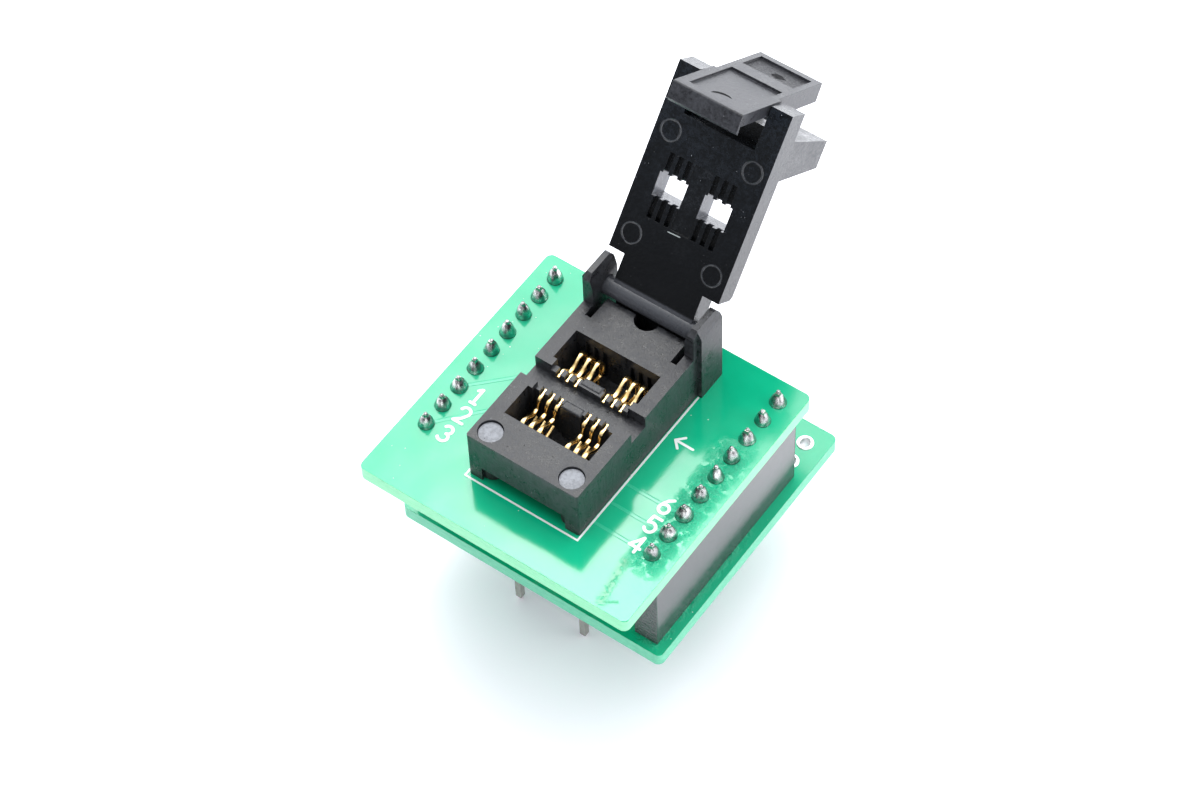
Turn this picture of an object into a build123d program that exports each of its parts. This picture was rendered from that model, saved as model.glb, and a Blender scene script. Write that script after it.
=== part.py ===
from build123d import *
import math
import os

# Programming socket adapter: a stack of two small square boards. The lower board plugs into a
# programmer with two rows of pins. The upper board lifts off the lower one and carries a test socket
# with spring contacts, a hinged cover and a hooked latch.
#
# Frame: +Z up, +X to the right seen from the latch side, +Y towards the cover's hinge. The origin is
# the centre of the plug's pin pattern, in the plane of the pin tips, so the part stands on its pins.
# All sizes are in millimetres.

# Pin grid and boards
pitch = 2.54
row_pins = 9
row_span = 10 * pitch
board_w = 30.0
board_l = 30.0
board_t = 1.6
board_corner_r = 0.7
pin_w = 0.64
pin_hole_r = 0.5
header_w = 2.54

# Plug under the bottom board
plug_pins = 10
plug_span = 3 * pitch
plug_reach = 6.2
plug_strip_h = 2.54
plug_chamfer = 0.16
plug_stub = 1.1

# Socket strips and pins between the boards
female_h = 8.5
male_h = 2.54
male_reach = 6.0
pocket_w = 1.0
fork_t = 0.12
fork_gap = 0.02
fork_w = 0.5
fork_h = 5.6
tail_stub = 1.0
tail_w = 0.4

# Solder joints, and the drilled holes that they hide, have few sides
top_joint_r = 0.88
top_joint_h = 1.35
top_joint_tip_r = 0.36
top_joint_sides = 9
pin_tip_over = 0.15
pin_tip_w = 0.36
pin_taper = 0.9
low_joint_r = 0.8
low_joint_tip_r = 0.56
low_joint_h = 0.75
low_joint_sides = 6
hidden_hole_sides = 4
hidden_hole_r = 0.56

# Spare plated holes of the bottom board
ring_r = 0.87
ring_t = 0.05
ring_sides = 14
spare_per_row = 2

# Heights of the stack
plug_top_z = plug_reach + plug_strip_h
low_board_z = plug_top_z
low_top_z = low_board_z + board_t
deck_z = low_top_z + female_h
deck_board_z = deck_z + male_h
deck_top_z = deck_board_z + board_t

# Places of the two boards and the header rows, along Y
low_board_y = 0.41
row_y = low_board_y - pitch
deck_y = row_y - pitch

# Test socket, measured from its channel: s is the distance from the channel's middle line
channel_y = deck_y - 0.26
base_half_w = 6.15
base_h = 6.1
front_s = 9.5
rear_s = 10.2
channel_half = 1.1
channel_floor = 4.7
rim_h = 5.65
rim_inner_s = 0.9
rim_outer_s = 1.6
cavity_s = 5.6
cavity_floor = 1.0
site_x = 2.5
contact_pitch = 0.95
contacts_per_site = 3
rim_margin = 0.8
rim_half_w = site_x + contact_pitch + rim_margin
cavity_beyond_rim = 0.45
cavity_half_w = rim_half_w + cavity_beyond_rim
bar_half_w = 1.1
bar_outer_s = 2.0
bar_h = 5.75
bar_round = 0.25
wall_step = 0.37
lid_seat_inset = 1.0
bow_slot_drop = 1.1
leg_w = 1.5
catch_h = 1.9
catch_depth = 1.3
base_edge_r = 0.25

# Spring contacts
contact_t = 0.36
contact_w = 0.4
contact_clear = 0.06
pad_top = 5.25
seat_top = 4.05
bow_top = 4.75
bow_s = 5.38
bow_low = 1.95
bow_bends = 6
bow_start_s = 3.95
bow_start_drop = 0.15
bow_lean = 0.55
bow_foot_lean = 0.5
bow_bulge = 0.1
tip_overhang = 0.02
pad_end_s = 2.1
seat_start_s = 2.36
seat_end_s = 3.2
leg_rise = 0.7
leg_beyond_tail = 0.6
tail_outer_s = 4.3
tail_inner_s = 3.1
contact_tail_w = 0.36
contact_tail_reach = 1.0
contact_hole_r = 0.36
contact_joint_r = 0.66
contact_joint_tip_r = 0.4
contact_joint_h = 0.6

# Hinge ears and the axle they hold
ear_t = 1.05
ear_inner_x = base_half_w - ear_t
ear_front_s = 8.8
ear_rear_s = 12.7
ear_h = 9.95
ear_front_cut = 0.6
ear_rear_r = 0.8
lead_in = 0.45
lead_in_h = 1.75
rib_out = 0.5
rib_front_s = 9.35
rib_gap_h = 0.05
rib_bevel = 1.05
slot_w = 0.65
slot_start_s = 7.5
slot_floor = 1.2
axle_s = 11.13
axle_h = 6.84
axle_r = 0.975
axle_clear = 0.05
axle_in_ear = 0.8
stop_front_s = 11.4
stop_clear = 0.06
thumb_r = 1.25
thumb_depth = 2.2

# Cover
lid_open = 51.8
lid_side_inset = 0.05
lid_half_w = base_half_w - lid_side_inset
lid_inner = 0.686
lid_t = 2.65
neck_clear = 0.1
lid_neck_half_w = ear_inner_x - slot_w - neck_clear
lid_shoulder = 3.64
lid_end = 22.53
lid_heel = 0.85
lid_chamfer = 0.35
window_half_w = 1.5
window_x = 2.45
window_near = 9.9
window_far = 12.3
groove_w = 0.55
groove_len = 2.1
groove_depth = 0.7
lug_near = 15.75
lug_far = 19.75
lug_reach = 7.8
lug_tip_near = 16.15
lug_tip_far = 18.95
notch_cheek = 2.25
notch_half_w = lid_half_w - notch_cheek
notch_near = 18.15

# Latch lever, measured from its pivot: along the lever outwards, and up to its top face
pivot_v = 21.55
pivot_h = -0.64
pivot_r = 0.6
pivot_clear = 0.05
pivot_bite = 0.8
latch_tilt = 5.0
latch_top = 1.15
latch_hook = 6.6
latch_arm = 9.75
latch_side_clear = 0.15
latch_half_w = notch_half_w - latch_side_clear
latch_arm_inset = 0.3
latch_arm_half_w = latch_half_w - latch_arm_inset
latch_plate_t = 1.25
latch_arm_t = 2.0
latch_web_inset = 0.4
latch_web_half_w = latch_half_w - latch_web_inset
latch_web_t = 1.5
hook_drop = 2.05
hook_lip = 0.8
arm_step = 1.0
recess_depth = 0.25
recess_edge = 0.95
recess_half_w = latch_half_w - recess_edge
hook_recess = (-2.8, 5.25)
arm_recess = (-8.65, -4.9)
hub_r = 0.75
latch_edge_r = 0.2

# Latch spring between the arm and the cover's lug
spring_r = 1.05
spring_wire = 0.22
spring_turns = 3
spring_place = 5.6
spring_seat = 0.35
spring_gap = 0.02

# Grey pegs in the socket's front corners
peg_inset = 1.65
peg_x = base_half_w - peg_inset
peg_s = 7.95
peg_r = 1.2
peg_hole_r = 1.23
peg_sunk = 0.25
spigot_r = 0.8
spigot_hole_r = 0.85
spigot_sides = 10


def block(x0, x1, y0, y1, z0, z1):
    """A box between three pairs of limits."""
    return Pos((x0 + x1) / 2, (y0 + y1) / 2, (z0 + z1) / 2) * Box(x1 - x0, y1 - y0, z1 - z0)


def side_profile(points, x0, x1):
    """A closed outline in the YZ plane, extruded along X from x0 to x1."""
    face = make_face(Polyline(*points, close=True))
    return Pos(x0, 0, 0) * extrude(Plane.YZ * face, amount=x1 - x0)


def rod_x(radius, x0, x1, y=0.0, z=0.0):
    """A round bar along X."""
    return Pos((x0 + x1) / 2, y, z) * Rot(0, 90, 0) * Cylinder(radius, x1 - x0)


def post(radius, z0, z1, x=0.0, y=0.0):
    """A round bar along Z."""
    return Pos(x, y, (z0 + z1) / 2) * Cylinder(radius, z1 - z0)


def row_places(count, centre_y):
    """The Y places of a row of pins at the grid pitch."""
    return [centre_y + (i - (count - 1) / 2) * pitch for i in range(count)]


def flat_sided(rings, sides, first_turn=0.0):
    """A solid with flat sides between even polygons, given as (radius, height) from the lowest up."""
    turns = [first_turn + 2 * math.pi * i / sides for i in range(sides)]
    levels = [[Vector(r * math.cos(t), r * math.sin(t), z) for t in turns] for r, z in rings]
    outlines = [levels[0][::-1], levels[-1]]
    for low, high in zip(levels, levels[1:]):
        outlines += [[low[i - 1], low[i], high[i], high[i - 1]] for i in range(sides)]
    return Solid(Shell([Face(Wire.make_polygon(outline, close=True)) for outline in outlines]))


def square_pin(width, z0, z1, low_chamfer=0.0, high_taper=0.0, high_w=0.0):
    """A square pin along Z, with a chamfered lower tip and an optional tapered upper tip."""
    rings = [(width - 2 * low_chamfer, z0), (width, z0 + 2 * low_chamfer)]
    rings += [(width, z1 - high_taper), (high_w, z1)] if high_taper else [(width, z1)]
    return flat_sided([(w / math.sqrt(2), z) for w, z in rings], 4, math.pi / 4)


def save(name, shape):
    """Write one sub-part, with its solids kept apart."""
    solids = shape if isinstance(shape, list) else shape.solids()
    export_step(Compound(children=list(solids)), f"parts/{name}.step")


def copies(shape, places):
    """The same shape at each place, as separate solids."""
    return [Pos(*place) * shape for place in places]


def board(centre_y, z0, holes):
    """A board with rounded corners and its drilled holes, each (x, y, radius, sides)."""
    outline = RectangleRounded(board_w, board_l, board_corner_r)
    drilled = Pos(0, centre_y) * outline
    for x, y, r, sides in holes:
        drilled -= Pos(x, y) * RegularPolygon(r, sides, rotation=45 if sides == 4 else 0)
    return Pos(0, 0, z0) * extrude(drilled, amount=board_t)


def contact_places():
    """Each spring contact's site side (-1 or 1), X place and whether its tail is the inner one."""
    middle = (contacts_per_site - 1) / 2
    places = []
    for side in (-1, 1):
        for i in range(contacts_per_site):
            places.append((side, side * site_x + (i - middle) * contact_pitch, i % 2 == 1))
    return places


def tail_s(inner):
    """How far from the channel a contact's tail goes through the board."""
    return tail_inner_s if inner else tail_outer_s


def band(route, half):
    """A flat strip of even width along a bent route, with mitred bends."""
    steps = [(b - a).normalized() for a, b in zip(route, route[1:])]
    left, right = [], []
    for i, point in enumerate(route):
        before, after = steps[max(i - 1, 0)], steps[min(i, len(steps) - 1)]
        along = (before + after).normalized()
        reach = Vector(-along.Y, along.X) * (half / along.dot(after))
        left.append(point + reach)
        right.insert(0, point - reach)
    return make_face(Polyline(*left, *right, close=True))


def spring_contact(inner):
    """One stamped contact, standing in the plane of s and height, with its tail down."""
    half = contact_w / 2
    pad = pad_top - half
    seat = seat_top - half
    top = bow_top - half
    low = bow_low + half
    back = bow_s - half
    tail = tail_s(inner)
    end = tail_inner_s - leg_beyond_tail
    foot = back - bow_foot_lean
    slope = leg_rise / (foot - end)
    upper = [(rim_inner_s - tip_overhang, pad), (pad_end_s, pad), (seat_start_s, seat), (seat_end_s, seat),
             (bow_start_s, top - bow_start_drop)]
    bow = ThreePointArc((back - bow_lean, top), (back, (top + low) / 2 + bow_bulge), (foot, low))
    bends = [bow @ (i / bow_bends) for i in range(bow_bends + 1)]
    route = [Vector(*p) for p in upper] + bends + [Vector(end, low + leg_rise)]
    body = extrude(Plane.YZ * band(route, half), amount=contact_t / 2, both=True)
    joined = low + slope * (foot - tail)
    edge = contact_tail_w / 2
    post_down = block(-contact_t / 2, contact_t / 2, tail - edge, tail + edge,
                      -board_t - contact_tail_reach, joined)
    return body + post_down


def at_socket(shape, x=0.0, front=False):
    """Moves a shape from the socket's own place (channel middle, board top) into the stack."""
    turned = mirror(shape, Plane.XZ) if front else shape
    return Pos(x, channel_y, deck_top_z) * turned


def socket_base():
    """The socket's black body, in its own place: channel middle at Y 0, board top at Z 0."""
    body = block(-base_half_w, base_half_w, -front_s, rear_s, 0, base_h)
    top_rims = body.edges().filter_by(Axis.Z)
    body = fillet(top_rims, base_edge_r)

    # channel for the chips, and the lower rim on both sides of it
    body -= block(-base_half_w - 1, base_half_w + 1, -channel_half, channel_half, channel_floor, base_h + 1)
    body -= block(-rim_half_w, rim_half_w, -cavity_s + lid_seat_inset, cavity_s - lid_seat_inset, rim_h, base_h + 1)
    for s in (-1, 1):
        rim = [s * rim_inner_s, s * (channel_half + 0.01)]
        body += block(-rim_half_w, rim_half_w, min(rim), max(rim), channel_floor - 0.5, rim_h)

    # contact cavities, with a deeper bite behind the rim, and a rounded bar between the two sites
    for s in (-1, 1):
        wide = sorted((s * (rim_outer_s + wall_step), s * cavity_s))
        body -= block(-cavity_half_w, cavity_half_w, *wide, cavity_floor, base_h + 1)
        near = sorted((s * rim_outer_s, s * (rim_outer_s + wall_step + 0.1)))
        body -= block(-rim_half_w, rim_half_w, *near, cavity_floor, base_h + 1)
        bar = block(-bar_half_w, bar_half_w, *sorted((s * (rim_inner_s + 0.15), s * bar_outer_s)), 0.5, bar_h)
        body += fillet(bar.edges().group_by(Axis.Z)[-1], bar_round)

    # grooves over the rim for the contact tips, in the outer walls for their bows, slots for tails
    cut = contact_t / 2 + contact_clear
    for _, x, inner in contact_places():
        for s in (-1, 1):
            tip = [s * (rim_inner_s - 0.3), s * (rim_outer_s + 0.1)]
            body -= block(x - cut, x + cut, min(tip), max(tip), pad_top - contact_w - contact_clear, base_h + 1)
            back = [s * (cavity_s - 0.1), s * (cavity_s + 0.45)]
            body -= block(x - cut, x + cut, min(back), max(back), cavity_floor, base_h - bow_slot_drop)
            tail = s * tail_s(inner)
            reach = contact_tail_w / 2 + contact_clear
            body -= block(x - cut, x + cut, tail - reach, tail + reach, -1, cavity_floor + 0.1)

    # catch edge for the hook under the front face, between two corner legs
    body -= block(-base_half_w + leg_w, base_half_w - leg_w, -front_s - 1, -front_s + catch_depth, -1, catch_h)

    # peg holes
    for x in (-peg_x, peg_x):
        body -= post(peg_hole_r, -1, base_h + 1, x, -peg_s)

    # thumb notch in the rear edge, and the stop bar behind the axle
    body -= post(thumb_r, base_h - thumb_depth, base_h + 1, 0, rear_s)
    floor = block(-base_half_w, base_half_w, rear_s - 0.5, ear_rear_s, 0, slot_floor)
    body += floor
    heel = heel_corner()
    stop = block(-ear_inner_x + slot_w, ear_inner_x - slot_w, stop_front_s, ear_rear_s, 0,
                 heel.Y - stop_clear)
    body += stop

    # ears with their ribs, then the slots that let them spring, then the blind axle holes
    for side in (-1, 1):
        edge = sorted((side * (base_half_w - 0.001), side * (ear_inner_x - slot_w)))
        body -= block(*edge, ear_front_s, rear_s + 1, slot_floor, base_h + 1)
    for side in (-1, 1):
        body += hinge_ear(side)
        edge = sorted((side * ear_inner_x, side * (ear_inner_x - slot_w)))
        body -= block(*edge, slot_start_s, ear_rear_s + 1, slot_floor, base_h + 1)
    deep = axle_in_ear + axle_clear
    body -= rod_x(axle_r + axle_clear, -ear_inner_x - deep, ear_inner_x + deep, axle_s, axle_h)
    return body


def ear_side():
    """An ear from the side: a cut front corner that clears the swinging cover, a round rear one."""
    bend = ear_rear_r * (1 - math.sqrt(0.5))
    top_rear = (ear_rear_s - ear_rear_r, ear_h)
    rear_top = (ear_rear_s, ear_h - ear_rear_r)
    crown = [(ear_front_s, 0), (ear_front_s, ear_h - ear_front_cut), (ear_front_s + ear_front_cut, ear_h)]
    outline = Polyline(*crown, top_rear)
    outline += ThreePointArc(top_rear, (ear_rear_s - bend, ear_h - bend), rear_top)
    outline += Polyline(rear_top, (ear_rear_s, 0), (ear_front_s, 0))
    return make_face(outline)


def hinge_ear(side):
    """One ear: a plate that leans open above the axle, and a bevelled rib on its outer face."""
    lead_z = ear_h - lead_in_h
    rib_x = base_half_w + rib_out
    across = [
        (ear_inner_x, 0), (rib_x, 0), (rib_x, ear_h - rib_bevel), (base_half_w, ear_h - rib_gap_h),
        (base_half_w, ear_h), (ear_inner_x + lead_in, ear_h), (ear_inner_x, lead_z),
    ]
    front = make_face(Polyline(*across, close=True))
    shape = Pos(0, ear_rear_s, 0) * extrude(Plane.XZ * front, amount=ear_rear_s - ear_front_s)
    shape = shape & extrude(Plane.YZ * ear_side(), amount=rib_x)
    shape -= block(base_half_w, rib_x + 1, ear_front_s - 1, rib_front_s, -1, ear_h + 1)
    return shape if side > 0 else mirror(shape, Plane.YZ)


def heel_corner():
    """Where the cover's heel is at rest, as (s, height): it leans on the stop bar there."""
    angle = math.radians(lid_open)
    along, inward = -lid_heel, lid_inner - lid_t
    s = axle_s + along * math.cos(angle) - inward * math.sin(angle)
    height = axle_h + along * math.sin(angle) + inward * math.cos(angle)
    return Vector(s, height)


def cover():
    """The cover lying open: Y from the axle to the free end, +Z is its inner side."""
    outer = lid_inner - lid_t
    panel = block(-lid_half_w, lid_half_w, lid_shoulder, lid_end, outer, lid_inner)
    low = panel.edges().filter_by(Axis.X).group_by(Axis.Z)[0].sort_by(Axis.Y)[0]
    panel = chamfer(low, lid_chamfer)
    heel = [
        (lid_shoulder + 0.5, outer), (-lid_heel, outer), (-lid_heel, -0.2), (0, 0),
        (axle_r * 0.75, lid_inner), (lid_shoulder + 0.5, lid_inner),
    ]
    shape = panel + side_profile(heel, -lid_neck_half_w, lid_neck_half_w)
    tip = ear_inner_x + axle_in_ear
    shape += rod_x(axle_r, -tip, tip)

    # finger lug on the outer side
    lug = [(lug_near, outer + 0.5), (lug_near, outer), (lug_tip_near, outer - lug_reach),
           (lug_tip_far, outer - lug_reach), (lug_far, outer), (lug_far, outer + 0.5)]
    shape += side_profile(lug, -lid_half_w, lid_half_w)

    # notch for the latch, blind holes for its pivots
    shape -= block(-notch_half_w, notch_half_w, notch_near, lid_end + 1, outer - 0.001, lid_inner + 1)
    reach = notch_half_w + pivot_bite
    shape -= rod_x(pivot_r + pivot_clear, -reach, reach, pivot_v, pivot_h)

    # windows over the chips, pressure grooves beyond both ends of each
    for side in (-1, 1):
        x = side * window_x
        shape -= block(x - window_half_w, x + window_half_w, window_near, window_far, outer - 1, lid_inner + 1)
        for i in range(contacts_per_site):
            gx = x + (i - (contacts_per_site - 1) / 2) * contact_pitch
            for edge, way in ((window_near, -1), (window_far, 1)):
                ends = sorted((edge - way * 0.1, edge + way * groove_len))
                shape -= block(gx - groove_w / 2, gx + groove_w / 2, *ends, lid_inner - groove_depth, lid_inner + 1)

    # shallow recess between the sites
    shape -= block(-bar_half_w + 0.1, bar_half_w - 0.1, window_near - groove_len, window_far + groove_len,
                   lid_inner - 0.12, lid_inner + 1)

    # seat for the spring on the lug
    shape -= spring_seat_cut()
    return shape


def spring_seat_cut():
    """The pocket in the lug's upper face that centres the latch spring."""
    h = pivot_h - spring_place
    pocket = Rot(90, 0, 0) * Cylinder(spring_r + 0.15, spring_seat)
    return Pos(0, spring_foot(), h) * Pos(0, spring_seat / 2, 0) * pocket


def spring_foot():
    """The bottom of the spring's pocket, along the cover."""
    outer = lid_inner - lid_t
    h = pivot_h - spring_place
    slope = (lug_tip_far - lug_far) / lug_reach
    return lug_far + slope * (outer - h) - spring_seat


def place_cover(shape):
    """Swings a shape from the cover's own frame to its open rest pose on the socket."""
    return at_socket(Pos(0, axle_s, axle_h) * Rot(lid_open, 0, 0) * shape)


def latch():
    """The lever in its own frame: pivot at the origin, arm towards -Z, top face towards +Y."""
    top = latch_top
    hook_plate = block(-latch_half_w, latch_half_w, top - latch_plate_t, top, -arm_step, latch_hook)
    arm = block(-latch_arm_half_w, latch_arm_half_w, top - latch_arm_t, top, -latch_arm, -arm_step + 0.2)
    web_low = top - latch_web_t
    web = [
        (top - 0.5, -arm_step), (web_low, -arm_step), (web_low, latch_hook - hook_lip - 0.12),
        (top - hook_drop, latch_hook - hook_lip + 0.05),
        (top - hook_drop, latch_hook - 0.3), (top - hook_drop + 0.3, latch_hook), (top - 0.5, latch_hook),
    ]
    lip = [
        (top - 0.5, latch_hook - 0.4), (top - hook_drop, latch_hook - 0.4), (top - hook_drop, latch_hook - 0.3),
        (top - hook_drop + 0.3, latch_hook), (top - 0.5, latch_hook),
    ]
    shape = hook_plate + arm + side_profile(web, -latch_web_half_w, latch_web_half_w)
    shape += side_profile(lip, -latch_half_w, latch_half_w)

    # soft edges along the top of the hook and across the arm's end
    ends = shape.edges().filter_by(Axis.X).filter_by_position(Axis.Y, top - 0.01, top + 0.01)
    shape = fillet([ends.sort_by(Axis.Z)[0], ends.sort_by(Axis.Z)[-1]], latch_edge_r)

    # two recesses in the top face
    for near, far in (hook_recess, arm_recess):
        shape -= block(-recess_half_w, recess_half_w, top - recess_depth, top + 1, near, far)

    # hub and pivots
    shape += rod_x(hub_r, -latch_half_w, latch_half_w)
    tip = notch_half_w + pivot_bite - pivot_clear
    shape += rod_x(pivot_r, -tip, tip)
    return shape


def place_latch(shape):
    """Moves a shape from the lever's own frame to its rest pose in the cover."""
    return place_cover(Pos(0, pivot_v, pivot_h) * Rot(latch_tilt, 0, 0) * shape)


def latch_spring():
    """A short coil between the lug's pocket and the arm's under face, in the cover's frame."""
    h = pivot_h - spring_place
    tilt = math.radians(latch_tilt)
    under = pivot_v + (latch_top - latch_arm_t) * math.cos(tilt) + spring_place * math.sin(tilt)
    under -= (spring_r + spring_wire) * math.sin(tilt)
    foot = spring_foot() + spring_gap
    length = under - spring_gap - foot
    step = (length - spring_wire) / (2 * spring_turns)
    mean_r = spring_r - spring_wire / 2
    bends = []
    for i in range(2 * spring_turns):
        way = 1 if i % 2 == 0 else -1
        start, end = (way * mean_r, 0, i * step), (-way * mean_r, 0, (i + 1) * step)
        bulge = (0, way * math.hypot(mean_r, step / 2), (i + 0.5) * step)
        bends.append(ThreePointArc(start, bulge, end))
    section = Plane(origin=(mean_r, 0, 0), x_dir=(1, 0, 0), z_dir=(0, 1, 0)) * Rectangle(spring_wire, spring_wire)
    coil = sweep(section, path=Wire(bends))
    standing = Rot(-90, 0, 0) * Pos(0, 0, spring_wire / 2) * coil
    return Pos(0, foot, h) * standing


def peg():
    """A grey peg: a thick head in the socket's corner hole, a thin spigot through the board."""
    head = post(peg_r, 0, base_h - peg_sunk)
    spigot = Pos(0, 0, -board_t) * extrude(RegularPolygon(spigot_r, spigot_sides), amount=board_t + 0.1)
    return head + spigot


def spring_fork():
    """A spring fork for one header pin, its base at Z 0, with a tail below."""
    gap = pin_w / 2 + fork_gap
    leaves = [block(side * (gap + fork_t / 2) - fork_t / 2, side * (gap + fork_t / 2) + fork_t / 2,
                    -fork_w / 2, fork_w / 2, 0, fork_h) for side in (-1, 1)]
    foot = block(-gap - fork_t, gap + fork_t, -fork_w / 2, fork_w / 2, -0.2, 0.05)
    tail = block(-tail_w / 2, tail_w / 2, -tail_w / 2, tail_w / 2, fork_tail_z(), -0.15)
    return leaves[0] + leaves[1] + foot + tail


def fork_base():
    """How high above the bottom board a fork's base sits."""
    return female_h - 0.6 - fork_h


def fork_tail_z():
    """The lower end of a fork's tail, from the fork's base."""
    return -fork_base() - board_t - tail_stub


def female_header(x):
    """A socket strip with a pocket for each pin and a narrow hole for each tail."""
    length = row_pins * pitch
    strip = block(x - header_w / 2, x + header_w / 2, row_y - length / 2, row_y + length / 2, low_top_z, deck_z)
    w = pocket_w / 2
    t = tail_w / 2 + 0.05
    for y in row_places(row_pins, row_y):
        floor = low_top_z + fork_base() - 0.25
        strip -= block(x - w, x + w, y - w, y + w, floor, deck_z + 1)
        strip -= block(x - t, x + t, y - t, y + t, low_top_z - 1, floor + 0.1)
    return strip


def male_strip(x):
    """The spacer of a pin header under the top board."""
    return spacer(x, row_places(row_pins, row_y), deck_z, male_h)


def plug_strip(x):
    """The spacer of a plug row under the bottom board."""
    return spacer(x, row_places(plug_pins, 0), plug_reach, plug_strip_h)


def spacer(x, places, z0, height):
    """A header's plastic bar with a square hole for each pin."""
    length = len(places) * pitch
    outline = Pos(x, (places[0] + places[-1]) / 2) * Rectangle(header_w, length)
    outline -= [Pos(x, y) * Rectangle(pin_w, pin_w) for y in places]
    return Pos(0, 0, z0) * extrude(outline, amount=height)


def plated_ring():
    """The metal lining of an empty hole, with a ring on both faces of the board."""
    bore = RegularPolygon(pin_hole_r, ring_sides)
    wall = extrude(RegularPolygon(pin_hole_r + ring_t, ring_sides) - bore, amount=board_t)
    flange = extrude(RegularPolygon(ring_r, ring_sides) - bore, amount=ring_t)
    return wall + Pos(0, 0, board_t) * flange + Pos(0, 0, -ring_t) * flange


def base_nodes():
    """Everything that stays in the programmer when the top board is lifted off."""
    row_x = row_span / 2
    plug_x = plug_span / 2
    rows = row_places(row_pins, row_y)
    spare = [rows[-1] + (i + 1) * pitch for i in range(spare_per_row)]
    plug_rows = row_places(plug_pins, 0)
    holes = [(side * row_x, y, hidden_hole_r, hidden_hole_sides) for side in (-1, 1) for y in rows]
    holes += [(side * row_x, y, pin_hole_r + ring_t, ring_sides) for side in (-1, 1) for y in spare]
    holes += [(side * plug_x, y, hidden_hole_r, hidden_hole_sides) for side in (-1, 1) for y in plug_rows]
    nodes = {"bottom_board": board(low_board_y, low_board_z, holes)}
    nodes["spare_pads"] = copies(plated_ring(), [(side * row_x, y, low_board_z) for side in (-1, 1) for y in spare])

    fork = spring_fork()
    cone = flat_sided([(low_joint_r, 0), (low_joint_tip_r, low_joint_h)], low_joint_sides)
    drop = flat_sided([(low_joint_tip_r, -low_joint_h), (low_joint_r, 0)], low_joint_sides)
    low_joint = drop - block(-tail_w / 2, tail_w / 2, -tail_w / 2, tail_w / 2, -3, 1)
    plug_pin = square_pin(pin_w, 0, low_top_z + plug_stub, low_chamfer=plug_chamfer)
    plug_joint = cone - block(-pin_w / 2, pin_w / 2, -pin_w / 2, pin_w / 2, -1, 3)
    for name, side in (("left", -1), ("right", 1)):
        x = side * row_x
        nodes[f"female_header_{name}"] = female_header(x)
        nodes[f"female_contacts_{name}"] = copies(fork, [(x, y, low_top_z + fork_base()) for y in rows])
        nodes[f"lower_joints_{name}"] = copies(low_joint, [(x, y, low_board_z) for y in rows])
        px = side * plug_x
        nodes[f"dip_strip_{name}"] = plug_strip(px)
        nodes[f"dip_pins_{name}"] = copies(plug_pin, [(px, y, 0) for y in plug_rows])
        nodes[f"dip_joints_{name}"] = copies(plug_joint, [(px, y, low_top_z) for y in plug_rows])
    return nodes


def deck_nodes():
    """The top board with its headers, solder joints and the test socket."""
    row_x = row_span / 2
    rows = row_places(row_pins, row_y)
    holes = [(side * row_x, y, hidden_hole_r, hidden_hole_sides) for side in (-1, 1) for y in rows]
    tails = [(x, channel_y + way * tail_s(inner)) for _, x, inner in contact_places() for way in (-1, 1)]
    holes += [(x, y, contact_hole_r, hidden_hole_sides) for x, y in tails]
    holes += [(x, channel_y - peg_s, spigot_hole_r, spigot_sides) for x in (-peg_x, peg_x)]
    nodes = {"top_board": board(deck_y, deck_board_z, holes)}

    pin_top = deck_top_z + top_joint_h + pin_tip_over
    pin = square_pin(pin_w, deck_z - male_reach, pin_top, plug_chamfer, pin_taper, pin_tip_w)
    shoulder = (top_joint_r * 0.68, top_joint_h * 0.45)
    joint = flat_sided([(top_joint_r, 0), shoulder, (top_joint_tip_r, top_joint_h)], top_joint_sides)
    joint = Pos(0, 0, deck_top_z) * joint - pin
    for name, side in (("left", -1), ("right", 1)):
        x = side * row_x
        nodes[f"male_strip_{name}"] = male_strip(x)
        nodes[f"male_pins_{name}"] = copies(pin, [(x, y, 0) for y in rows])
        nodes[f"top_joints_{name}"] = copies(joint, [(x, y, 0) for y in rows])

    nodes["socket_base"] = at_socket(socket_base())
    nodes["locating_pegs"] = [at_socket(Pos(x, -peg_s, 0) * peg()) for x in (-peg_x, peg_x)]
    shapes = {inner: spring_contact(inner) for inner in (False, True)}
    for row_name, front in (("front", True), ("rear", False)):
        for site_name, site in (("left", -1), ("right", 1)):
            group = [at_socket(shapes[inner], x, front) for side, x, inner in contact_places() if side == site]
            nodes[f"contacts_{row_name}_{site_name}"] = group

    half = contact_t / 2
    drop = flat_sided([(contact_joint_tip_r, -contact_joint_h), (contact_joint_r, 0)], low_joint_sides)
    drop -= block(-half, half, -contact_tail_w / 2, contact_tail_w / 2, -3, 1)
    nodes["contact_joints"] = copies(drop, [(x, y, deck_board_z) for x, y in tails])
    return nodes


def moving_nodes():
    """The cover, the latch lever in its free end, and the spring behind the lever."""
    return {
        "lid": place_cover(cover()),
        "latch_lever": place_latch(latch()),
        "latch_spring": place_cover(latch_spring()),
    }


def main():
    os.makedirs("parts", exist_ok=True)
    for nodes in (base_nodes(), deck_nodes(), moving_nodes()):
        for name, shape in nodes.items():
            save(name, shape)


main()
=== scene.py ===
"""Programming socket adapter: what shows of its two boards, pin headers, test socket, cover and latch.

Lengths in this file are in millimetres until a piece is made, where they become metres.
"""

import math

import bmesh
import bpy
import numpy as np
from mathutils import Matrix


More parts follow.
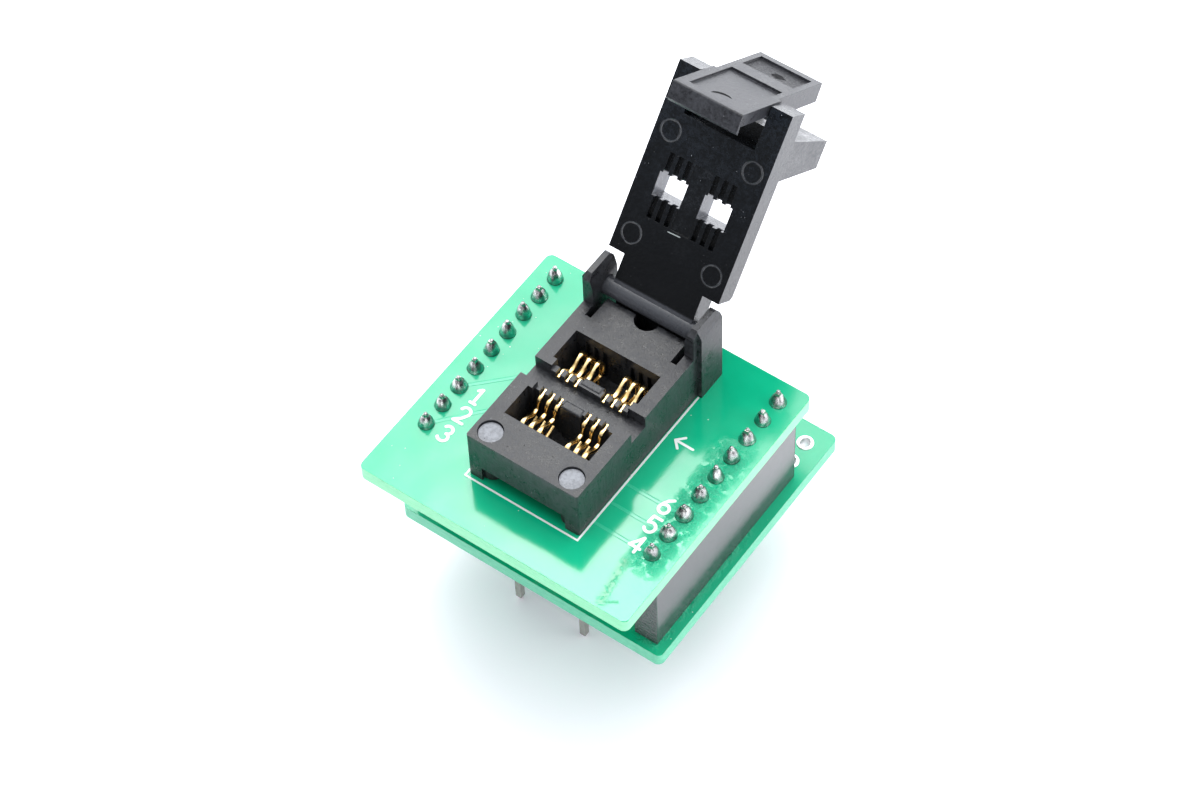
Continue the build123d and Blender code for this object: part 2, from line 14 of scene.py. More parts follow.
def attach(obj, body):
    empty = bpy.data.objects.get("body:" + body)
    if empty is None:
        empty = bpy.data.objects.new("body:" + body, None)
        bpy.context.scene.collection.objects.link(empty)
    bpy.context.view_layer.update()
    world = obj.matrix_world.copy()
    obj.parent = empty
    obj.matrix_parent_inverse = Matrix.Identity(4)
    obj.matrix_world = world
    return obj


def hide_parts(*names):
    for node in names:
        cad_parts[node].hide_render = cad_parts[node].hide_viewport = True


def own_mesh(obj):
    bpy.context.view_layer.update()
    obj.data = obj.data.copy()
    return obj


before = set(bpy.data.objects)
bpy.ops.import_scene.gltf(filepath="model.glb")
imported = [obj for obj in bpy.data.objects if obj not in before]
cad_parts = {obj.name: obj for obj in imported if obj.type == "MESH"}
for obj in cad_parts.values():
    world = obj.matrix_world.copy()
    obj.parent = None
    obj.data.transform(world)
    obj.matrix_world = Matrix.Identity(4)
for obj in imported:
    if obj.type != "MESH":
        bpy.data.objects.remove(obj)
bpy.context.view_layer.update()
MM = 0.001
SIDES = (("left", -1), ("right", 1))

# The stack: pin grid, header rows, the two boards and the plug's rows
PITCH = 2.54
ROW_X = 12.7
ROW_Y = -2.13
ROW_PINS = 9
BOARD_HALF = 15.0
BOARD_T = 1.6
DECK_Y = -4.67
DECK_TOP = 22.98
DECK_UNDER = DECK_TOP - BOARD_T
LOW_Y = 0.41
LOW_TOP = 10.34
LOW_UNDER = LOW_TOP - BOARD_T
PLUG_X = 3.81
PLUG_PINS = 10

# The test socket: its channel's middle line and height, the contacts' sites, and how far off the channel
# the tails of the middle contact and of the outer two stand
CHANNEL_Y = -4.93
SOCKET_H = 6.1
SITE_X = 2.5
CONTACT_PITCH = 0.95
TAIL_MIDDLE = 3.1
TAIL_OUTER = 4.3

# The cover as it stands open, its hinge axis, and its sizes in its own frame: along it from the hinge,
# and off its inner side
HINGE = np.array([0.0, 6.20, 29.82])
LID_OPEN = math.radians(51.8)
COVER_INNER = 0.686
COVER_T = 2.65
WINDOW_X = 2.45
WINDOW_HALF_W = 1.5
WINDOW_ALONG = 11.1
WINDOW_HALF = 1.24
LUG_FAR = 19.75
LUG_TIP_FAR = 18.95
LUG_REACH = 7.8

# The latch's lever: its pivot in the cover's frame (along, off), its tilt there, its top above the pivot,
# its arm's thickness, and the recess in the arm, by half its width and its reach from the pivot
PIVOT = (21.55, -0.64)
LATCH_TILT = math.radians(5.0)
LEVER_TOP = 1.15
ARM_T = 2.0
RECESS_HALF = 2.75
RECESS_MIDDLE = -6.775
RECESS_HALF_LENGTH = 1.8

# The latch's spring: its distance from the pivot, half the width that it takes up, the depth of its seat
# and the gap at both ends
SPRING_PLACE = 5.6
SPRING_HALF = 1.27
SPRING_SEAT = 0.35
SPRING_GAP = 0.02


# Surfaces
def piece(name, points, faces, body, finish, slot=None, smooth=True):
    """A mesh from points in millimetres and a list of faces, riding on a body."""
    mesh = bpy.data.meshes.new(name)
    mesh.from_pydata((np.asarray(points, float) * MM).tolist(), [], [list(map(int, f)) for f in faces])
    mesh.validate()
    mesh.polygons.foreach_set("use_smooth", [smooth] * len(mesh.polygons))
    mesh.materials.append(finish)
    made = bpy.data.objects.new(name, mesh)
    bpy.context.scene.collection.objects.link(made)
    if body:
        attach(made, body)
    return made


def lattice_faces(rows, columns):
    """Quads of a grid of rows of points, each row a closed ring."""
    a = np.arange(rows - 1)[:, None] * columns
    c = np.arange(columns)[None, :]
    n = (c + 1) % columns
    return np.stack([a + c, a + n, a + columns + n, a + columns + c], -1).reshape(-1, 4).tolist()


def turned_over(faces):
    """The same faces, looking the other way."""
    return [face[::-1] for face in faces]


def joined(parts):
    """Several (points, faces) as one, each part's faces counted on from the last part's points."""
    points, faces, count = [], [], 0
    for p, f in parts:
        points.append(np.asarray(p, float))
        faces += [[i + count for i in face] for face in f]
        count += len(p)
    return np.concatenate(points), faces


def directions(line):
    """The direction of a line at each of its points: the change of place, brought to a length of one."""
    ahead = np.gradient(line, axis=0)
    return ahead / np.linalg.norm(ahead, axis=1, keepdims=True)


def tube(path, across, upwards, profile, girth=1.0):
    """A profile carried along a path: point = path + across * u * girth + upwards * v, with flat ends."""
    path, profile = np.asarray(path, float), np.asarray(profile, float)
    across = across * np.broadcast_to(girth, len(path))[:, None]
    rings = (path[:, None, :] + across[:, None, :] * profile[None, :, 0, None]
             + upwards[:, None, :] * profile[None, :, 1, None])
    n = len(profile)
    faces = lattice_faces(len(path), n)
    faces.append(list(range(n))[::-1])
    faces.append([(len(path) - 1) * n + i for i in range(n)])
    return rings.reshape(-1, 3), faces


def rounded_outline(half_u, half_v, power=0.45, count=16):
    """A rounded rectangle: each coordinate is the cosine or sine raised to a small power."""
    t = np.linspace(0, 2 * np.pi, count, endpoint=False) + np.pi / count
    c, s = np.cos(t), np.sin(t)
    return np.stack([half_u * np.sign(c) * np.abs(c) ** power, half_v * np.sign(s) * np.abs(s) ** power], -1)


def softened_line(points):
    """A bent line with its corners cut at a quarter and three quarters of each run, three times over."""
    line = np.asarray(points, float)
    for _ in range(3):
        cut = np.empty((2 * (len(line) - 1), line.shape[1]))
        cut[0::2] = 0.75 * line[:-1] + 0.25 * line[1:]
        cut[1::2] = 0.25 * line[:-1] + 0.75 * line[1:]
        line = np.concatenate([line[:1], cut, line[-1:]])
    return line


def softened(node, name, body, finish, width, segments, slot):
    """A copy of a node's shape, merged into whole faces and given small rounded edges of a width."""
    same_place, flat, edge = 3e-6, math.radians(1.2), math.radians(32)
    work = bmesh.new()
    work.from_mesh(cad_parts[node].data)
    bmesh.ops.remove_doubles(work, verts=work.verts, dist=same_place)
    bmesh.ops.dissolve_limit(work, angle_limit=flat, verts=work.verts, edges=work.edges)
    bmesh.ops.recalc_face_normals(work, faces=work.faces)
    work.verts.index_update()
    points = [tuple(c / MM for c in v.co) for v in work.verts]
    faces = [[v.index for v in f.verts] for f in work.faces]
    work.free()
    made = piece(name, points, faces, body, finish, slot)
    bevel = made.modifiers.new("edges", "BEVEL")
    bevel.limit_method = "ANGLE"
    bevel.angle_limit = edge
    bevel.width = width * MM
    bevel.segments = segments
    bevel.use_clamp_overlap = True
    bevel.harden_normals = True
    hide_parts(node)


# Finishes
class Value:
    """A shader value that adds its Math nodes as an expression is written."""

    def __init__(self, nodes, socket):
        self.nodes, self.socket = nodes, socket

    def _math(self, operation, *others):
        return self.nodes.node("ShaderNodeMath", {"operation": operation}, self, *others)

    def __add__(self, other):
        return self._math("ADD", other)

    def __radd__(self, other):
        return self._math("ADD", other)

    def __sub__(self, other):
        return self._math("SUBTRACT", other)

    def __rsub__(self, other):
        return (-self) + other

    def __mul__(self, other):
        return self._math("MULTIPLY", other)

    def __rmul__(self, other):
        return self._math("MULTIPLY", other)

    def __truediv__(self, other):
        return self._math("DIVIDE", other)

    def __pow__(self, other):
        return self._math("POWER", other)

    def __lt__(self, other):
        return self._math("LESS_THAN", other)

    def __gt__(self, other):
        return self._math("GREATER_THAN", other)

    def __abs__(self):
        return self._math("ABSOLUTE")

    def __neg__(self):
        return self._math("MULTIPLY", -1.0)

    def top(self, other):
        return self._math("MAXIMUM", other)

    def low(self, other):
        return self._math("MINIMUM", other)

    def root(self):
        return self._math("SQRT")

    def step(self, start, end):
        """0 before start and 1 after end, smooth between them."""
        return self.nodes.node("ShaderNodeMapRange", {"interpolation_type": "SMOOTHSTEP"}, self,
                               float(start), float(end), 0.0, 1.0)

    def near(self, middle, half, soft=0.08):
        """1 less than half a width from a middle and 0 beyond it, with a soft edge."""
        return 1 - abs(self - middle).step(half, half + soft)


def most(values):
    """The largest of several shader values."""
    first, *others = values
    for other in others:
        first = first.top(other)
    return first


class Nodes:
    """A tree of shader nodes."""

    def __init__(self, tree):
        self.tree = tree

    def fill(self, socket, value):
        """Links a shader value to a socket, or sets a number, a vector or a colour on it."""
        value = value.socket if isinstance(value, Value) else value
        if isinstance(value, bpy.types.NodeSocket):
            self.tree.links.new(value, socket)
        elif socket.type == "RGBA":
            socket.default_value = (*value, 1.0)
        else:
            socket.default_value = value

    def node(self, kind, settings, *values, out=0):
        """Adds a node of a type: its settings first, then the values or links of its sockets in order."""
        made = self.tree.nodes.new(kind)
        for key, value in settings.items():
            setattr(made, key, value)
        for socket, value in zip(made.inputs, values):
            if value is not None:
                self.fill(socket, value)
        return Value(self, made.outputs[out])


class Finish(Nodes):
    """A material made of nodes: a place on the piece in millimetres, patterns on it, and one surface."""

    def __init__(self, name, **constants):
        self.material = bpy.data.materials.new(name)
        self.material.use_nodes = True
        super().__init__(self.material.node_tree)
        self.surface = self.tree.nodes["Principled BSDF"]
        for key, value in constants.items():
            self.set(key.replace("_", " "), value)
        place = self.node("ShaderNodeTexCoord", {}, out="Object")
        self.place = self.node("ShaderNodeVectorMath", {"operation": "SCALE"}, place, None, None, 1 / MM)
        split = self.node("ShaderNodeSeparateXYZ", {}, self.place).socket.node
        self.x, self.y, self.z = (Value(self, s) for s in split.outputs)

    def set(self, name, value):
        """Sets or links one socket of the surface."""
        self.fill(self.surface.inputs[name], value)
        return self

    def noise(self, scale, detail=3.0, roughness=0.55, stretch=None, distortion=0.0):
        """Cloudy noise, scale in patches per millimetre, about 0.5 on average."""
        place, lacunarity = self.place, 2.0
        if stretch:
            place = self.node("ShaderNodeMapping", {}, place, None, None, stretch)
        return self.node("ShaderNodeTexNoise", {}, place, None, scale, detail, roughness, lacunarity,
                         None, None, distortion)

    def specks(self, scale, share, size=0.10):
        """Small separate spots: the share of cells that hold one, and how wide it is, in cells."""
        cells = self.node("ShaderNodeTexVoronoi", {}, self.place, None, scale).socket.node
        pick = self.node("ShaderNodeSeparateColor", {}, cells.outputs["Color"])
        reach = Value(self, cells.outputs["Distance"]) + self.noise(scale * 4, 2) * 0.08
        return (1 - reach.step(size, size + 0.06)) * (pick < share)

    def mix(self, share, a, b):
        """Colour a where the share is 0 and b where it is 1."""
        unused = [None] * 5
        return self.node("ShaderNodeMix", {"data_type": "RGBA"}, share, *unused, a, b, out=2)

    def relief(self, height, distance):
        """Bump from a height in units of the distance, in millimetres."""
        strength = 1.0
        bump = self.node("ShaderNodeBump", {}, strength, distance * MM)
        self.fill(bump.socket.node.inputs["Height"], height)
        self.set("Normal", bump)

    def patch(self, x0, x1, y0, y1, soft):
        """1 inside a rectangle of the board, seen from above, and 0 outside it."""
        across = abs(self.x - (x0 + x1) / 2) - (x1 - x0) / 2
        along = abs(self.y - (y0 + y1) / 2) - (y1 - y0) / 2
        return 1 - across.top(along).step(-soft / 2, soft / 2)

    def stroke(self, ax, ay, bx, by, half, soft):
        """1 within half a width of the line from a to b, seen from above."""
        dx, dy = bx - ax, by - ay
        square = dx * dx + dy * dy
        t = (((self.x - ax) * dx + (self.y - ay) * dy) / square).top(0.0).low(1.0)
        off = ((self.x - ax - t * dx) ** 2.0 + (self.y - ay - t * dy) ** 2.0).root()
        return 1 - off.step(half - soft / 2, half + soft / 2)


# The boards' colours, the top board's traces as straight runs from (x, y) to (x, y), the smear at its
# corner, and the painted shade round and under the socket
MASK_DARK, MASK_LIGHT = (0.003, 0.43, 0.215), (0.006, 0.505, 0.262)
TRACE_GREEN = (0.06, 0.60, 0.36)
FLUX_DARK, FLUX_PALE = (0.001, 0.26, 0.13), (0.10, 0.55, 0.36)
SMEAR_GREEN = (0.0, 0.28, 0.10)
SHADED_GREEN = (0.0, 0.16, 0.06)
BOARD_DUST = (0.75, 0.88, 0.82)
TOP_LAMINATE = ((0.18, 0.60, 0.33), (0.25, 0.68, 0.40))
LOW_LAMINATE = ((0.08, 0.46, 0.28), (0.16, 0.56, 0.36))
TRACES = [(-12.7, -7.2, -9.0, -3.4), (-9.0, -3.4, -6.0, -2.2), (-12.7, -12.3, -8.8, -7.8),
          (-8.8, -7.8, -6.0, -7.5), (6.0, -7.36, 11.7, -7.34), (6.0, -9.8, 11.7, -9.8),
          (6.0, -12.42, 11.7, -12.4)]
SMEAR_BROAD, SMEAR_THIN = (11.1, -14.2, 11.8, -19.0), (11.8, -19.0, 13.0, -18.2)
SOCKET_SHADE_AREA = (-6.1, 6.1, -14.2, 4.5)


def board_finish(name, centre_y, low_z, laminate, upper):
    """Glossy green mask over the woven laminate, bare pale laminate round the edges."""
    f = Finish(name, Specular_IOR_Level=0.5)
    cloud = f.noise(0.35, 3)
    swell = f.noise(0.22, 1.0, 0.3)
    fine = f.noise(9.0, 2)
    off_middle = abs(f.z - (low_z + BOARD_T / 2))
    to_edge = abs(f.x).top(abs(f.y - centre_y)) + f.noise(2.4, 3) * 0.10
    face = off_middle.step(BOARD_T / 2 - 0.06, BOARD_T / 2 - 0.03)
    face = face * (1 - to_edge.step(BOARD_HALF - 0.015, BOARD_HALF + 0.03))
    green = f.mix(cloud, MASK_DARK, MASK_LIGHT)
    if upper:
        copper = most([f.stroke(*run, 0.17, 0.07) for run in TRACES])
        green = f.mix(copper * 0.45, green, TRACE_GREEN)
    # flux left round the right row: dimpled, crazed patches that dull the gloss
    flux = f.x.near(ROW_X, 0.8, 1.5) * f.y.near(ROW_Y - 4.0, 6.4, 2.8) * f.noise(1.1, 3, 0.6).step(0.36, 0.60)
    dimples = f.noise(4.0, 4, 0.8)
    green = f.mix(dimples.step(0.48, 0.56) * flux * 0.36, green, FLUX_DARK)
    if upper:
        smear = f.stroke(*SMEAR_BROAD, 0.3, 1.1).top(f.stroke(*SMEAR_THIN, 0.08, 0.3))
        smear = smear * f.noise(1.2, 4, 0.7, distortion=0.8).step(0.36, 0.52)
        green = f.mix(smear * 0.8, green, SMEAR_GREEN)
        # painted shade: the board's top face darkened round and under the socket
        under = f.patch(*SOCKET_SHADE_AREA, 1.4) * f.z.step(DECK_TOP - 0.4, DECK_TOP - 0.2)
        green = f.mix(under * 0.75, green, SHADED_GREEN)
    green = f.mix(flux * 0.15, green, FLUX_PALE)
    dust = f.specks(1.3, 0.07).top(f.specks(2.6, 0.16, 0.12) * f.x.near(-ROW_X, 1.0, 0.7))
    green = f.mix(dust * 0.8, green, BOARD_DUST)
    layers = f.noise(5.0, 2, 0.5, stretch=(0.25, 0.25, 3.0))
    f.set("Base Color", f.mix(face, f.mix(layers.step(0.3, 0.7), *laminate), green))
    f.set("Roughness", (0.09 + cloud * 0.06 + flux * 0.12 + dust * 0.3) * face + (1 - face) * 0.45)
    height = swell * 2.4 + fine * 0.05 + flux * dimples * 10.0 + (1 - face) * layers * 1.2
    if upper:
        height = height + copper * 1.4 + smear * 0.8
    f.relief(height, 0.02)
    return f.material


def shade_of(colour, factor):
    """A colour made darker or lighter: each of its parts times the factor."""
    return tuple(factor * c for c in colour)


def black_plastic(name, tone, roughness, grain=0.5, dust=0.05, ends=None, marks=None, crown=None, mottle=0.55,
                  specular=0.5):
    """Moulded black plastic: mottled, with a fine grain, pits and pale dust specks. Ends are sawn rough
    beyond (middle, half length), sides are scratched up to the crown, and marks adds a piece's own marks
    and painted light and shade."""
    f = Finish(name, Specular_IOR_Level=specular)
    cloud = f.noise(0.45, 5, 0.6)
    fine = f.noise(2.6, 5, 0.7)
    grit = f.noise(8.0, 2, 0.6)
    worn = (cloud * 0.3 + fine * 0.7).step(0.40, 0.60)
    base = f.mix(worn, shade_of(tone, 1 - mottle), shade_of(tone, 1 + mottle * 1.6))
    base = f.mix(grit.step(0.58, 0.72) * 0.6 * mottle, base, tuple(min(0.5, c) for c in shade_of(tone, 4.5)))
    height = fine * grain * 5.0 + grit * grain * 2.0
    if crown:
        side = 1 - f.z.step(crown - 0.3, crown - 0.1)
        streak = f.noise(2.2, 3, 0.6, stretch=(1.0, 1.0, 0.12)) * side
        base = f.mix(streak.step(0.50, 0.68) * 0.6, base, shade_of(tone, 2.0))
        height = height + streak * 3.0
    pits = f.specks(1.7, 0.22, 0.07)
    height = height - pits * 6.0
    base = f.mix(pits * 0.8, base, (0.002, 0.002, 0.002))
    speck = f.specks(3.0, dust).top(f.specks(1.1, dust * 0.5, 0.045))
    base = f.mix(speck * 0.85, base, (0.60, 0.62, 0.66))
    dull = pits * 0.5 + speck * 0.2
    if ends:
        middle, half = ends
        sawn = abs(f.y - middle).step(half - 0.12, half - 0.04)
        height = height + sawn * f.noise(1.6, 4, 0.6, stretch=(1.0, 1.0, 2.2)) * 14.0
    if marks:
        base, height, more = marks(f, base, height)
        dull = dull + more
    dull = dull + roughness + (fine - 0.5) * 1.1 * mottle + (cloud - 0.5) * 0.7 * mottle
    f.set("Base Color", base)
    f.set("Roughness", dull.low(1.0).top(0.05))
    f.relief(height, 0.012)
    return f.material


def cover_place(f):
    """Where a point lies in the open cover's own frame: along it, and off its inner side."""
    y, z = f.y - float(HINGE[1]), f.z - float(HINGE[2])
    c, s = math.cos(LID_OPEN), math.sin(LID_OPEN)
    return y * c + z * s, z * c - y * s


def lever_place(f):
    """Where a point lies in the lever's own frame: towards the hook, and up from the pivot."""
    along, off = cover_place(f)
    c, s = math.cos(LATCH_TILT), math.sin(LATCH_TILT)
    along, off = along - PIVOT[0], off - PIVOT[1]
    return off * c - along * s, off * s + along * c


def cover_marks(f, base, height):
    """The cover's inner face is glossier, and painted shade darkens it towards the hinge. It bears a painted
    highlight along one edge and the round marks of four ejector pins, each a thin groove at a radius round
    its middle. The windows' walls, the axle and the lug are paler: painted light, a reflection on the walls
    and a sheen on the axle and the lug."""
    along, off = cover_place(f)
    ring_x, ring_places, ring_r = 4.45, (5.76, 16.19), 1.0
    rings = most([((abs(f.x) - ring_x) ** 2.0 + (along - middle) ** 2.0).root().near(ring_r, 0.04)
                  for middle in ring_places])
    rings = rings * off.step(0.55, 0.62)
    edge_highlight = (along - f.x * 0.05).near(7.55, 0.03, 0.04) * f.x.near(-0.45, 0.6, 0.15) * off.step(0.2, 0.3)
    axle = 1 - along.step(0.95, 1.2)
    lug = 1 - off.step(-2.2, -1.98)
    wall_reflection = abs(f.x).near(WINDOW_X, WINDOW_HALF_W) * along.near(WINDOW_ALONG, WINDOW_HALF)
    wall_reflection = wall_reflection * (1 - off.step(0.50, 0.60))
    # painted shade: the inner face darker towards the hinge
    inner = f.mix(along.step(2.0, 23.0), (0.002, 0.0026, 0.0038), base)
    # painted sheen: the axle paler
    base = f.mix(axle, inner, (0.050, 0.053, 0.062))
    # painted highlight: a short pale line along an edge of the inner face
    base = f.mix(edge_highlight * 0.7, base, (0.5, 0.55, 0.55))
    # painted reflection: the windows' walls paler
    base = f.mix(wall_reflection * 0.85, base, (0.17, 0.175, 0.20))
    # painted light: the lug paler
    base = f.mix(lug * 0.5, base, (0.030, 0.031, 0.036))
    base = f.mix(rings * 0.55, base, (0.07, 0.075, 0.085))
    gloss = off.step(0.60, 0.66) * (1 - axle) * 0.09
    return base, height - rings * 12.0, rings * 0.1 + axle * 0.12 + lug * 0.12 - gloss


def peg_shaft_shade(f, base, height):
    """Below a peg's end, painted shade makes it as dark as the socket."""
    shaft_shade = 1 - f.z.step(DECK_TOP + 4.5, DECK_TOP + 5.0)
    return f.mix(shaft_shade, base, (0.012, 0.012, 0.014)), height, shaft_shade * 0.1


def lever_marks(f, base, height):
    """On the lever's top: a crescent groove in the hook's recess, thickest on the arm's side, whose black is
    painted shade, and a round sprue mark with a ragged edge in the arm's recess, whose floor is rough and
    a little darker."""
    reach, up = lever_place(f)
    top = up.step(0.2, 0.4)
    crescent_x, crescent_reach, crescent_r = 0.35, 4.6, 1.1
    right, ahead = f.x - crescent_x, reach - crescent_reach
    far = (right ** 2.0 + ahead ** 2.0).root()
    turned = (right * -0.43 + ahead * -0.90) / far
    thin = abs(far - crescent_r) - (turned - 0.5) * 0.46
    crescent = (1 - thin.step(-0.04, 0.04)) * turned.step(0.45, 0.55) * top
    sprue_x, sprue_reach, sprue_r = 0.45, -6.4, 0.6
    blot = ((f.x - sprue_x) ** 2.0 + ((reach - sprue_reach) * 1.1) ** 2.0).root()
    blot = blot + (f.noise(1.8, 3) - 0.5) * 0.9
    sprue = (1 - blot.step(sprue_r - 0.15, sprue_r + 0.15)) * top
    rough = reach.near(RECESS_MIDDLE, RECESS_HALF_LENGTH, 0.1) * f.x.near(0.0, RECESS_HALF, 0.06)
    rough = rough * top * (1 - up.step(0.96, 1.04))
    # painted shade: the crescent groove black; the sprue mark and the rough floor darker too
    base = f.mix(crescent.top(sprue * 0.9).top(rough * 0.3), base, (0.002, 0.002, 0.003))
    uneven = f.noise(2.6, 4, 0.7)
    dull = (crescent * 1.6 + sprue * uneven * 1.2 + rough * 0.05).low(0.9)
    return base, height - crescent * 14.0 - sprue * (8.0 + uneven * 26.0) + rough * uneven * 14.0, dull


def bright_metal(name, colour, darker, roughness, scale=2.0, relief=0.3, waves=1.5):
    """Plated or tinned metal with dull clouds and fine marks."""
    f = Finish(name, Metallic=1.0)
    cloud = f.noise(scale, 4)
    fine = f.noise(14.0, 2)
    f.set("Base Color", f.mix(cloud.step(0.35, 0.7), darker, colour))
    f.set("Roughness", roughness + (cloud - 0.5) * 0.2 + (fine - 0.5) * 0.1)
    f.relief(cloud * waves + fine * relief, 0.012)
    return f.material


def matt_print(name):
    """White printing ink, slightly worn and grainy."""
    f = Finish(name, Specular_IOR_Level=0.3)
    grain = f.noise(8.0, 3, 0.7)
    f.set("Base Color", f.mix(grain.step(0.62, 0.8), (0.90, 0.93, 0.92), (0.78, 0.88, 0.83)))
    f.set("Roughness", 0.55 + grain * 0.2)
    f.relief(grain, 0.008)
    return f.material


mask_top = board_finish("green_mask_top_board", DECK_Y, DECK_UNDER, TOP_LAMINATE, upper=True)
mask_low = board_finish("green_mask_bottom_board", LOW_Y, LOW_UNDER, LOW_LAMINATE, upper=False)
strip_plastic = black_plastic("strip_plastic", (0.040, 0.042, 0.045), roughness=0.13, grain=0.3,
                              ends=(ROW_Y, ROW_PINS * PITCH / 2), mottle=0.25, specular=0.95)
plug_plastic = black_plastic("plug_strip_plastic", (0.018, 0.019, 0.020), roughness=0.30,
                             ends=(0.0, PLUG_PINS * PITCH / 2))
socket_plastic = black_plastic("socket_plastic", (0.015, 0.0158, 0.0185), roughness=0.36, grain=0.6,
                               dust=0.08, crown=DECK_TOP + SOCKET_H)
lid_plastic = black_plastic("cover_plastic", (0.006, 0.0078, 0.0108), roughness=0.21, grain=0.4,
                            dust=0.10, marks=cover_marks, mottle=0.5, specular=0.37)
latch_plastic = black_plastic("latch_plastic", (0.027, 0.028, 0.033), roughness=0.32,
                              dust=0.06, marks=lever_marks, mottle=0.28, specular=0.30)
peg_plastic = black_plastic("peg_plastic", (0.20, 0.21, 0.235), roughness=0.42,
                            dust=0.03, marks=peg_shaft_shade, mottle=0.22)
tinned = bright_metal("tinned_pins", (0.52, 0.495, 0.46), (0.36, 0.34, 0.31), roughness=0.30, scale=0.8,
                      relief=0.05, waves=0.3)
solder = bright_metal("solder", (0.66, 0.66, 0.66), (0.24, 0.24, 0.24), roughness=0.24, scale=1.5, relief=1.2)
pad_tin = bright_metal("pad_tin", (0.90, 0.90, 0.90), (0.72, 0.73, 0.73), roughness=0.36, scale=1.2)
gold = bright_metal("gold_plating", (1.0, 0.79, 0.42), (0.92, 0.62, 0.25), roughness=0.24, scale=1.5)
steel = bright_metal("spring_steel", (0.62, 0.62, 0.63), (0.40, 0.40, 0.41), roughness=0.25)
ink = matt_print("white_print")

finishes = {
    "bottom_board": mask_low, "top_board": mask_top, "socket_base": socket_plastic, "lid": lid_plastic,
    "latch_lever": latch_plastic, "locating_pegs": peg_plastic, "latch_spring": steel,
    "contact_joints": solder, "spare_pads": pad_tin,
}
paired_finishes = {
    "female_header": strip_plastic, "male_strip": strip_plastic, "dip_strip": plug_plastic,
    "male_pins": tinned, "dip_pins": tinned, "female_contacts": gold, "contacts_front": gold,
    "contacts_rear": gold, "top_joints": solder, "lower_joints": solder, "dip_joints": solder,
}
for side, _ in SIDES:
    for node, finish in paired_finishes.items():
        finishes[f"{node}_{side}"] = finish
for node, finish in finishes.items():
    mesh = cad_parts[node].data
    mesh.materials.clear()
    mesh.materials.append(finish)


# Boards, headers and plastic bodies
softened("top_board", "deck_board", "deck", mask_top, 0.05, 2, "board_green")
softened("bottom_board", "plug_board", "base", mask_low, 0.05, 2, "board_green")
softened("socket_base", "socket_body", "deck", socket_plastic, 0.09, 3, "socket_black")
softened("lid", "cover", "lid", lid_plastic, 0.10, 3, "socket_black")
softened("latch_lever", "latch", "latch", latch_plastic, 0.12, 3, "socket_black")
softened("locating_pegs", "corner_pegs", "deck", peg_plastic, 0.08, 2, "peg_grey")
for side, _ in SIDES:
    softened(f"female_header_{side}", f"socket_strip_{side}", "base", strip_plastic, 0.07, 2, "strip_black")
    softened(f"male_strip_{side}", f"pin_strip_{side}", "deck", strip_plastic, 0.07, 2, "strip_black")
    softened(f"dip_strip_{side}", f"plug_strip_{side}", "base", plug_plastic, 0.07, 2, "strip_black")


# Solder joints
def solder_bell(x, y, z, foot_r, height, tip_r, chance, way):
    """A joint of solder round a pin: up to a shoulder, radius = tip + (foot - tip) * (1 - t^a)^b with a
    thin wetted skirt, t being the height's share; above it the coated pin end with a round top. Slow
    waves go round it, and it leans a little. It points up for way 1 and down for way -1."""
    turns, rows = 28, 16
    t = np.linspace(0, 1, rows)[:, None]
    turn = np.linspace(0, 2 * np.pi, turns, endpoint=False)[None, :]
    a, b = chance.uniform(1.25, 1.9), chance.uniform(0.62, 0.85)
    shoulder = chance.uniform(0.70, 0.84)
    u = np.clip(t / shoulder, 0, 1)
    end = np.clip((t - shoulder) / (1 - shoulder), 0, 1)
    radius = tip_r + (foot_r - tip_r) * (1 - u ** a) ** b + 0.06 * np.exp(-t / 0.04)
    radius = radius * np.sqrt(np.clip(1 - 0.45 * end ** 6, 0, 1))
    wave = (0.04 * np.sin(2 * turn + chance.uniform(0, 6))
            + 0.025 * np.sin(3 * turn + 3 * t + chance.uniform(0, 6))
            + 0.014 * np.sin(5 * turn + 6 * t + chance.uniform(0, 6)))
    radius = radius * (1 + wave * (0.35 + 0.65 * np.sin(np.pi * u)))
    lean = chance.uniform(0, 6.28)
    shift = chance.uniform(0.0, 0.08) * t ** 1.3
    px = x + radius * np.cos(turn) + shift * math.cos(lean)
    py = y + radius * np.sin(turn) + shift * math.sin(lean)
    pz = z + way * (t * height + 0 * turn)
    points = np.stack([px, py, pz], -1).reshape(-1, 3)
    faces = lattice_faces(rows, turns)
    crown = points[-turns:].mean(0) + np.array([0, 0, way * 0.015])
    points = np.concatenate([points, crown[None]])
    last = (rows - 1) * turns
    faces += [[last + i, last + (i + 1) % turns, len(points) - 1] for i in range(turns)]
    faces.append(list(range(turns))[::-1])
    return points, faces if way > 0 else turned_over(faces)


def joint_row(name, node, places, body, foot_r, height, tip_r, way, seed):
    """A row of joints, each a little different in girth and height."""
    chance = np.random.default_rng(seed)
    parts = []
    for x, y, z in places:
        girth = 1 + chance.uniform(-0.06, 0.05)
        tall = height * (1 + chance.uniform(-0.12, 0.12))
        parts.append(solder_bell(x, y, z, foot_r * girth, tall, tip_r, chance, way))
    made = piece(name, *joined(parts), body, solder, "solder")
    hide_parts(node)


def pin_places(x, count, middle, z):
    """Places of a row of pins one pitch apart, round the middle of the row."""
    return [(x, middle + (i - (count - 1) / 2) * PITCH, z) for i in range(count)]


def contact_places(site):
    """Each contact of a site: its place across the socket, and whether it is the middle one of three."""
    return [(site * SITE_X + i * CONTACT_PITCH, i == 0) for i in (-1, 0, 1)]


def tail_off(middle):
    """How far off the channel a contact's tail stands."""
    return TAIL_MIDDLE if middle else TAIL_OUTER


